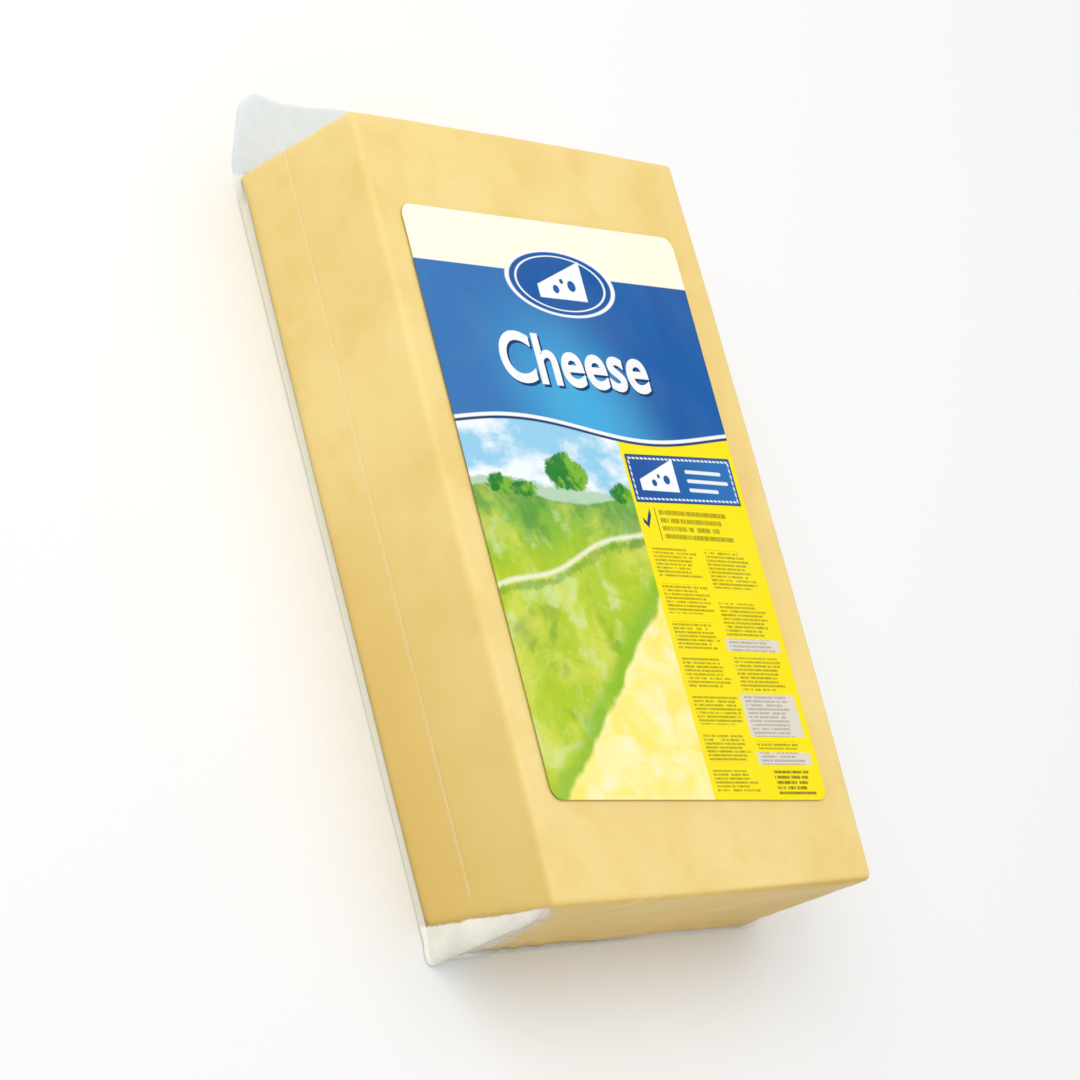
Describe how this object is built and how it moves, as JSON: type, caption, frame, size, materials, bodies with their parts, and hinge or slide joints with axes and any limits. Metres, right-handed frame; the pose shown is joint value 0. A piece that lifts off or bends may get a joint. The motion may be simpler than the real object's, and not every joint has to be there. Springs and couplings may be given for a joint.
{
  "type": "vacuum-packed cheese loaf",
  "caption": "Rectangular loaf of semi-hard yellow cheese, vacuum packed in a clear film bag with a sealed rim, a wide flap at the mouth end and a printed label on the front face.",
  "frame": {"origin": "middle of the pack's bounding box, on the surface that the pack lies on", "axes": "+Z out of the labelled front face, +Y up the label towards the wide sealed flap, +X across the label to its right"},
  "size_m": [0.1892, 0.3244, 0.0579],
  "materials": {
    "cheese": "smooth, faintly waxy semi-hard yellow cheese",
    "film": "clear glossy barrier film, creased at the corners",
    "label": "printed self-adhesive label, satin"
  },
  "bodies": {
    "root": {"cheese_block": "cheese", "bag_back_panel": "film", "bag_front_panel": "film", "label": "label"}
  },
  "joints": []
}
